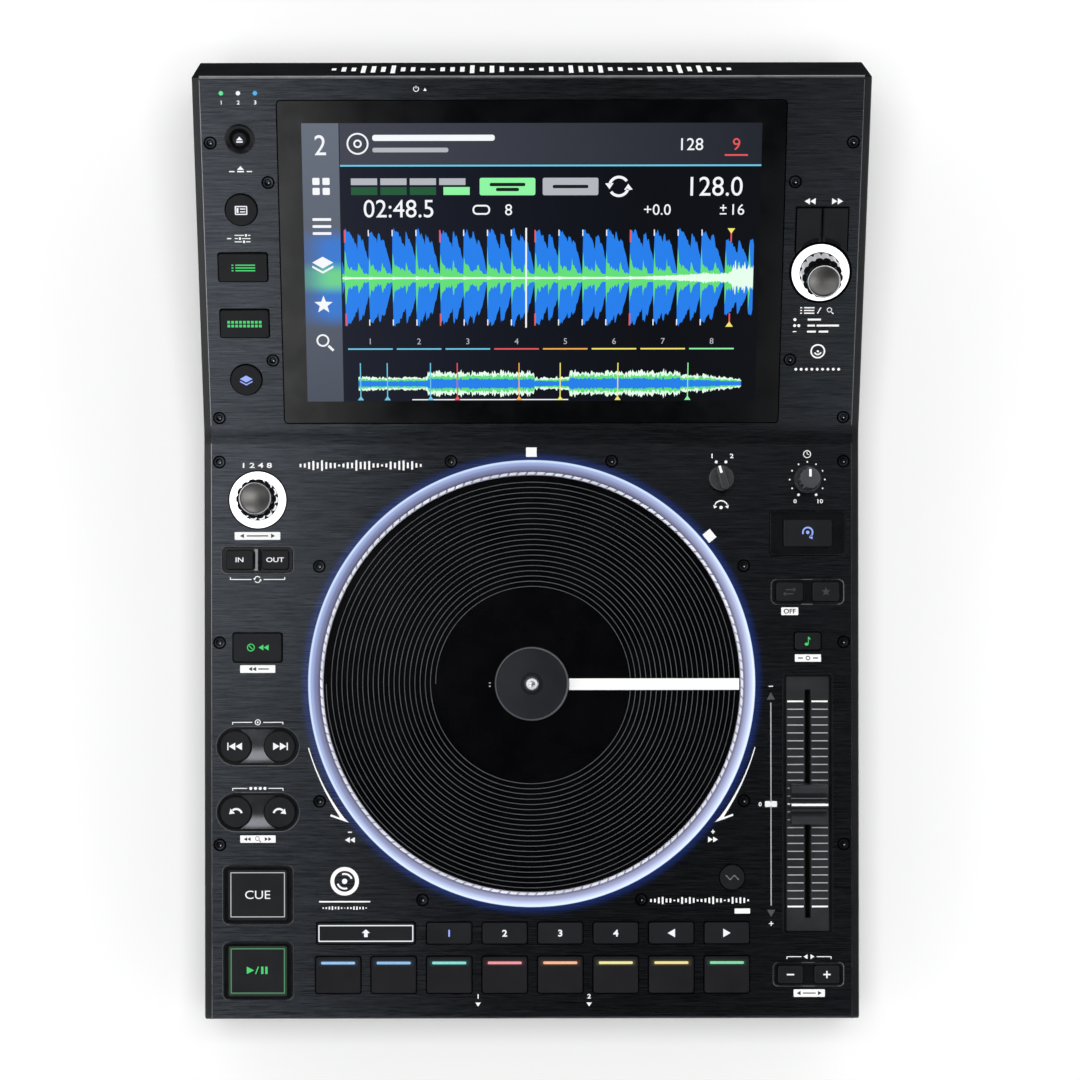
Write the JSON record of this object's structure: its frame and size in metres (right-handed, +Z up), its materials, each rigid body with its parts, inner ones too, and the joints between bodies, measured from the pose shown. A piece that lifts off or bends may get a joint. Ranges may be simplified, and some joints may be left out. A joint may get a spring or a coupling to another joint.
{
  "type": "tabletop dj media player",
  "caption": "Wedge-shaped tabletop media player for DJs: tilted touchscreen, motor-driven platter with a loose disc inside a light ring, pads, transport keys, knobs and a pitch slider.",
  "frame": {"origin": "on the table, under the middle of the case", "axes": "+X to the right, +Y to the rear, away from the player, +Z up"},
  "size_m": [0.32, 0.464, 0.1151],
  "materials": {
    "black_brushed_aluminium": "black anodised, brushed from left to right",
    "case_black": "fine moulded texture",
    "chassis_steel": "black powder coat",
    "screen_glass": "polished cover glass over a dark display",
    "ring_diffuser": "frosted diffuser, lit",
    "bezel_black": "satin moulding",
    "cast_aluminium": "as cast",
    "circuit_board": "green boards with black and bare metal parts",
    "foot_rubber": "matt",
    "screw_black": "black oxide",
    "socket_plastic": "moulded sockets with bare metal contacts",
    "platter_aluminium": "machined rim, cast underside",
    "vinyl": "pressed, grooved",
    "hub_black": "satin, with a bright steel spindle",
    "encoder_core": "bright",
    "knob_black": "soft-touch grip with a turned cap",
    "pot_knob_black": "satin",
    "fader_black": "satin, white index line",
    "key_rubber": "satin, backlit legend",
    "power_key": "satin"
  },
  "bodies": {
    "console": {"top_panel": "black_brushed_aluminium", "body_case": "case_black", "chassis": "chassis_steel", "touchscreen": "screen_glass", "light_rings": "ring_diffuser", "key_bezels": "bezel_black", "platter_motor": "cast_aluminium", "electronics": "circuit_board", "rubber_feet": "foot_rubber", "case_screws": "screw_black", "sockets": "socket_plastic"},
    "platter": {"platter": "platter_aluminium"},
    "disc": {"vinyl_disc": "vinyl", "disc_hub": "hub_black"},
    "loop_rotor": {"loop_encoder_rotor": "encoder_core"},
    "loop_knob": {"loop_knob": "knob_black"},
    "select_rotor": {"select_encoder_rotor": "encoder_core"},
    "select_knob": {"select_knob": "knob_black"},
    "torque_knob": {"torque_knob": "pot_knob_black"},
    "stop_time_knob": {"stop_time_knob": "pot_knob_black"},
    "pitch_fader_cap": {"pitch_fader_cap": "fader_black"},
    "beat_jump_back_button": {"beat_jump_back_button": "key_rubber"},
    "beat_jump_forward_button": {"beat_jump_forward_button": "key_rubber"},
    "bend_minus_button": {"bend_minus_button": "key_rubber"},
    "bend_plus_button": {"bend_plus_button": "key_rubber"},
    "browse_back_button": {"browse_back_button": "key_rubber"},
    "browse_forward_button": {"browse_forward_button": "key_rubber"},
    "censor_button": {"censor_button": "key_rubber"},
    "cue_button": {"cue_button": "key_rubber"},
    "key_lock_button": {"key_lock_button": "key_rubber"},
    "layer_button": {"layer_button": "key_rubber"},
    "loop_in_button": {"loop_in_button": "key_rubber"},
    "loop_out_button": {"loop_out_button": "key_rubber"},
    "master_button": {"master_button": "key_rubber"},
    "media_eject_button": {"media_eject_button": "key_rubber"},
    "mode_1_button": {"mode_1_button": "key_rubber"},
    "mode_2_button": {"mode_2_button": "key_rubber"},
    "mode_3_button": {"mode_3_button": "key_rubber"},
    "mode_4_button": {"mode_4_button": "key_rubber"},
    "motor_button": {"motor_button": "key_rubber"},
    "pad_1": {"pad_1": "key_rubber"},
    "pad_2": {"pad_2": "key_rubber"},
    "pad_3": {"pad_3": "key_rubber"},
    "pad_4": {"pad_4": "key_rubber"},
    "pad_5": {"pad_5": "key_rubber"},
    "pad_6": {"pad_6": "key_rubber"},
    "pad_7": {"pad_7": "key_rubber"},
    "pad_8": {"pad_8": "key_rubber"},
    "page_left_button": {"page_left_button": "key_rubber"},
    "page_right_button": {"page_right_button": "key_rubber"},
    "play_button": {"play_button": "key_rubber"},
    "power_button": {"power_button": "power_key"},
    "shift_button": {"shift_button": "key_rubber"},
    "shortcuts_button": {"shortcuts_button": "key_rubber"},
    "slip_button": {"slip_button": "key_rubber"},
    "source_button": {"source_button": "key_rubber"},
    "sync_button": {"sync_button": "key_rubber"},
    "track_skip_back_button": {"track_skip_back_button": "key_rubber"},
    "track_skip_forward_button": {"track_skip_forward_button": "key_rubber"},
    "view_button": {"view_button": "key_rubber"}
  },
  "joints": [
    {"name": "platter_spin", "type": "hinge", "parent": "console", "child": "platter", "pos_m": [0, -0.068, 0.054], "axis": [0, 0, 1], "continuous": true},
    {"name": "disc_slip", "type": "hinge", "parent": "platter", "child": "disc", "pos_m": [0, -0.068, 0.054], "axis": [0, 0, 1], "continuous": true},
    {"name": "loop_turn", "type": "hinge", "parent": "console", "child": "loop_rotor", "pos_m": [-0.1338, 0.022, 0.054], "axis": [0, 0, 1], "continuous": true},
    {"name": "loop_push", "type": "slide", "parent": "loop_rotor", "child": "loop_knob", "axis": [0, 0, 1], "range_m": [-0.0008, 0], "stiffness_N_per_m": 900, "springref_m": 0.0012},
    {"name": "select_turn", "type": "hinge", "parent": "console", "child": "select_rotor", "pos_m": [0.1388, 0.12954, 0.08209], "axis": [0, -0.3486, 0.9373], "continuous": true},
    {"name": "select_push", "type": "slide", "parent": "select_rotor", "child": "select_knob", "axis": [0, -0.3486, 0.9373], "range_m": [-0.0008, 0], "stiffness_N_per_m": 900, "springref_m": 0.0012},
    {"name": "torque_turn", "type": "hinge", "parent": "console", "child": "torque_knob", "pos_m": [0.0928, 0.0322, 0.054], "axis": [0, 0, 1], "range_deg": [-32.6, 0]},
    {"name": "stop_time_turn", "type": "hinge", "parent": "console", "child": "stop_time_knob", "pos_m": [0.135, 0.0316, 0.054], "axis": [0, 0, 1], "range_deg": [-150, 150]},
    {"name": "pitch_slide", "type": "slide", "parent": "console", "child": "pitch_fader_cap", "axis": [0, 1, 0], "range_m": [-0.05, 0.05]},
    {"name": "beat_jump_back_press", "type": "slide", "parent": "console", "child": "beat_jump_back_button", "axis": [0, 0, 1], "range_m": [-0.001, 0], "stiffness_N_per_m": 500, "springref_m": 0.0012},
    {"name": "beat_jump_forward_press", "type": "slide", "parent": "console", "child": "beat_jump_forward_button", "axis": [0, 0, 1], "range_m": [-0.001, 0], "stiffness_N_per_m": 500, "springref_m": 0.0012},
    {"name": "bend_minus_press", "type": "slide", "parent": "console", "child": "bend_minus_button", "axis": [0, 0, 1], "range_m": [-0.001, 0], "stiffness_N_per_m": 500, "springref_m": 0.0012},
    {"name": "bend_plus_press", "type": "slide", "parent": "console", "child": "bend_plus_button", "axis": [0, 0, 1], "range_m": [-0.001, 0], "stiffness_N_per_m": 500, "springref_m": 0.0012},
    {"name": "browse_back_press", "type": "slide", "parent": "console", "child": "browse_back_button", "axis": [0, -0.3486, 0.9373], "range_m": [-0.001, 0], "stiffness_N_per_m": 500, "springref_m": 0.0012},
    {"name": "browse_forward_press", "type": "slide", "parent": "console", "child": "browse_forward_button", "axis": [0, -0.3486, 0.9373], "range_m": [-0.001, 0], "stiffness_N_per_m": 500, "springref_m": 0.0012},
    {"name": "censor_press", "type": "slide", "parent": "console", "child": "censor_button", "axis": [0, 0, 1], "range_m": [-0.001, 0], "stiffness_N_per_m": 500, "springref_m": 0.0012},
    {"name": "cue_press", "type": "slide", "parent": "console", "child": "cue_button", "axis": [0, 0, 1], "range_m": [-0.001, 0], "stiffness_N_per_m": 500, "springref_m": 0.0012},
    {"name": "key_lock_press", "type": "slide", "parent": "console", "child": "key_lock_button", "axis": [0, 0, 1], "range_m": [-0.001, 0], "stiffness_N_per_m": 500, "springref_m": 0.0012},
    {"name": "layer_press", "type": "slide", "parent": "console", "child": "layer_button", "axis": [0, -0.3486, 0.9373], "range_m": [-0.001, 0], "stiffness_N_per_m": 500, "springref_m": 0.0012},
    {"name": "loop_in_press", "type": "slide", "parent": "console", "child": "loop_in_button", "axis": [0, 0, 1], "range_m": [-0.001, 0], "stiffness_N_per_m": 500, "springref_m": 0.0012},
    {"name": "loop_out_press", "type": "slide", "parent": "console", "child": "loop_out_button", "axis": [0, 0, 1], "range_m": [-0.001, 0], "stiffness_N_per_m": 500, "springref_m": 0.0012},
    {"name": "master_press", "type": "slide", "parent": "console", "child": "master_button", "axis": [0, 0, 1], "range_m": [-0.001, 0], "stiffness_N_per_m": 500, "springref_m": 0.0012},
    {"name": "media_eject_press", "type": "slide", "parent": "console", "child": "media_eject_button", "axis": [0, -0.3486, 0.9373], "range_m": [-0.001, 0], "stiffness_N_per_m": 500, "springref_m": 0.0012},
    {"name": "mode_1_press", "type": "slide", "parent": "console", "child": "mode_1_button", "axis": [0, 0, 1], "range_m": [-0.001, 0], "stiffness_N_per_m": 500, "springref_m": 0.0012},
    {"name": "mode_2_press", "type": "slide", "parent": "console", "child": "mode_2_button", "axis": [0, 0, 1], "range_m": [-0.001, 0], "stiffness_N_per_m": 500, "springref_m": 0.0012},
    {"name": "mode_3_press", "type": "slide", "parent": "console", "child": "mode_3_button", "axis": [0, 0, 1], "range_m": [-0.001, 0], "stiffness_N_per_m": 500, "springref_m": 0.0012},
    {"name": "mode_4_press", "type": "slide", "parent": "console", "child": "mode_4_button", "axis": [0, 0, 1], "range_m": [-0.001, 0], "stiffness_N_per_m": 500, "springref_m": 0.0012},
    {"name": "motor_press", "type": "slide", "parent": "console", "child": "motor_button", "axis": [0, 0, 1], "range_m": [-0.001, 0], "stiffness_N_per_m": 500, "springref_m": 0.0012},
    {"name": "pad_1_press", "type": "slide", "parent": "console", "child": "pad_1", "axis": [0, 0, 1], "range_m": [-0.001, 0], "stiffness_N_per_m": 500, "springref_m": 0.0012},
    {"name": "pad_2_press", "type": "slide", "parent": "console", "child": "pad_2", "axis": [0, 0, 1], "range_m": [-0.001, 0], "stiffness_N_per_m": 500, "springref_m": 0.0012},
    {"name": "pad_3_press", "type": "slide", "parent": "console", "child": "pad_3", "axis": [0, 0, 1], "range_m": [-0.001, 0], "stiffness_N_per_m": 500, "springref_m": 0.0012},
    {"name": "pad_4_press", "type": "slide", "parent": "console", "child": "pad_4", "axis": [0, 0, 1], "range_m": [-0.001, 0], "stiffness_N_per_m": 500, "springref_m": 0.0012},
    {"name": "pad_5_press", "type": "slide", "parent": "console", "child": "pad_5", "axis": [0, 0, 1], "range_m": [-0.001, 0], "stiffness_N_per_m": 500, "springref_m": 0.0012},
    {"name": "pad_6_press", "type": "slide", "parent": "console", "child": "pad_6", "axis": [0, 0, 1], "range_m": [-0.001, 0], "stiffness_N_per_m": 500, "springref_m": 0.0012},
    {"name": "pad_7_press", "type": "slide", "parent": "console", "child": "pad_7", "axis": [0, 0, 1], "range_m": [-0.001, 0], "stiffness_N_per_m": 500, "springref_m": 0.0012},
    {"name": "pad_8_press", "type": "slide", "parent": "console", "child": "pad_8", "axis": [0, 0, 1], "range_m": [-0.001, 0], "stiffness_N_per_m": 500, "springref_m": 0.0012},
    {"name": "page_left_press", "type": "slide", "parent": "console", "child": "page_left_button", "axis": [0, 0, 1], "range_m": [-0.001, 0], "stiffness_N_per_m": 500, "springref_m": 0.0012},
    {"name": "page_right_press", "type": "slide", "parent": "console", "child": "page_right_button", "axis": [0, 0, 1], "range_m": [-0.001, 0], "stiffness_N_per_m": 500, "springref_m": 0.0012},
    {"name": "play_press", "type": "slide", "parent": "console", "child": "play_button", "axis": [0, 0, 1], "range_m": [-0.001, 0], "stiffness_N_per_m": 500, "springref_m": 0.0012},
    {"name": "power_press", "type": "slide", "parent": "console", "child": "power_button", "axis": [0, 1, 0], "range_m": [-0.0015, 0], "stiffness_N_per_m": 500, "springref_m": 0.0012},
    {"name": "shift_press", "type": "slide", "parent": "console", "child": "shift_button", "axis": [0, 0, 1], "range_m": [-0.001, 0], "stiffness_N_per_m": 500, "springref_m": 0.0012},
    {"name": "shortcuts_press", "type": "slide", "parent": "console", "child": "shortcuts_button", "axis": [0, -0.3486, 0.9373], "range_m": [-0.001, 0], "stiffness_N_per_m": 500, "springref_m": 0.0012},
    {"name": "slip_press", "type": "slide", "parent": "console", "child": "slip_button", "axis": [0, 0, 1], "range_m": [-0.001, 0], "stiffness_N_per_m": 500, "springref_m": 0.0012},
    {"name": "source_press", "type": "slide", "parent": "console", "child": "source_button", "axis": [0, -0.3486, 0.9373], "range_m": [-0.001, 0], "stiffness_N_per_m": 500, "springref_m": 0.0012},
    {"name": "sync_press", "type": "slide", "parent": "console", "child": "sync_button", "axis": [0, 0, 1], "range_m": [-0.001, 0], "stiffness_N_per_m": 500, "springref_m": 0.0012},
    {"name": "track_skip_back_press", "type": "slide", "parent": "console", "child": "track_skip_back_button", "axis": [0, 0, 1], "range_m": [-0.001, 0], "stiffness_N_per_m": 500, "springref_m": 0.0012},
    {"name": "track_skip_forward_press", "type": "slide", "parent": "console", "child": "track_skip_forward_button", "axis": [0, 0, 1], "range_m": [-0.001, 0], "stiffness_N_per_m": 500, "springref_m": 0.0012},
    {"name": "view_press", "type": "slide", "parent": "console", "child": "view_button", "axis": [0, -0.3486, 0.9373], "range_m": [-0.001, 0], "stiffness_N_per_m": 500, "springref_m": 0.0012}
  ]
}
